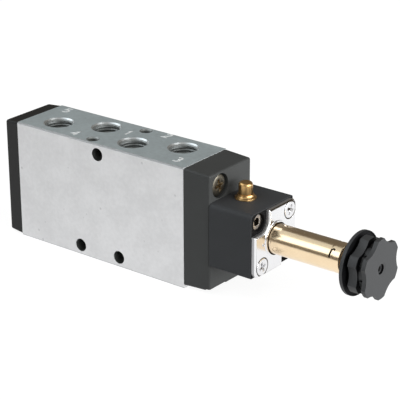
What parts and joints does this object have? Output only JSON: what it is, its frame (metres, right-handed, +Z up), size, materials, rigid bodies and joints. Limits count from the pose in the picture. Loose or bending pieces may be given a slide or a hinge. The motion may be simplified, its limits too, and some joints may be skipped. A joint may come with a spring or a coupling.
{
  "type": "pneumatic solenoid valve",
  "caption": "Ported spool valve with spring end cap, pilot end cap, pilot block, manual override button, bare armature tube and lobed coil nut.",
  "frame": {"origin": "midway between the two lower mounting holes, on the body's mid plane", "axes": "+X along the valve from the spring end cap to the coil nut, +Y to the back, +Z up out of the upper port face"},
  "size_m": [0.1387, 0.022, 0.04],
  "materials": {
    "body_aluminium": "satin, blasted and anodised sides with machined ends and ports",
    "cage_brass": "turned",
    "seal_rubber": "black nitrile",
    "seat_rubber": "red brown sealing disc",
    "bush_plastic": "natural acetal",
    "cap_plastic": "black moulded, satin",
    "block_plastic": "black moulded, slightly glossy",
    "nut_plastic": "black moulded, fine texture",
    "dark_screw_steel": "dull plated",
    "socket_screw_steel": "nickel plated",
    "plate_zinc": "bright plated",
    "plate_screw_zinc": "bright plated",
    "tube_brass": "drawn and polished",
    "core_metal": "turned, dull",
    "button_brass": "turned and tumbled",
    "spool_aluminium": "ground and polished",
    "plunger_steel": "ground",
    "spring_steel": "drawn wire"
  },
  "bodies": {
    "valve": {"valve_body": "body_aluminium", "spacer_cages": "cage_brass", "spool_seals": "seal_rubber", "spring_bush": "bush_plastic", "piston_bush": "bush_plastic", "spring_end_cap": "cap_plastic", "spring_cap_seal": "seal_rubber", "spring_cap_screws": "dark_screw_steel", "pilot_end_cap": "cap_plastic", "pilot_cap_seal": "seal_rubber", "pilot_cap_screws": "dark_screw_steel", "pilot_block": "block_plastic", "pilot_port_seal": "seal_rubber", "pilot_block_screws": "socket_screw_steel", "pilot_nozzle": "tube_brass", "flange_plate": "plate_zinc", "flange_plate_screws": "plate_screw_zinc", "armature_tube": "tube_brass", "tube_seal": "seal_rubber", "fixed_core": "core_metal", "override_bush": "button_brass", "return_spring": "spring_steel", "plunger_spring": "spring_steel", "override_spring": "spring_steel"},
    "spool_set": {"spool": "spool_aluminium", "pilot_piston": "bush_plastic", "piston_seal": "seal_rubber"},
    "plunger_set": {"plunger": "plunger_steel", "plunger_seat": "seat_rubber"},
    "button": {"override_button": "button_brass", "override_seal": "seal_rubber"},
    "nut": {"coil_nut": "nut_plastic"}
  },
  "joints": [
    {"name": "spool_shift", "type": "slide", "parent": "valve", "child": "spool_set", "axis": [-1, 0, 0], "range_m": [0, 0.0035], "stiffness_N_per_m": 1500, "springref_m": -0.004, "deforming": ["return_spring"]},
    {"name": "plunger_lift", "type": "slide", "parent": "valve", "child": "plunger_set", "axis": [1, 0, 0], "range_m": [0, 0.0012], "stiffness_N_per_m": 400, "springref_m": -0.003, "deforming": ["plunger_spring"]},
    {"name": "override_press", "type": "slide", "parent": "valve", "child": "button", "axis": [0, 0, -1], "range_m": [0, 0.0015], "stiffness_N_per_m": 800, "springref_m": -0.002, "deforming": ["override_spring"]},
    {"name": "nut_turn", "type": "hinge", "parent": "valve", "child": "nut", "pos_m": [0.0942, 0, 0.0171], "axis": [1, 0, 0], "continuous": true}
  ]
}
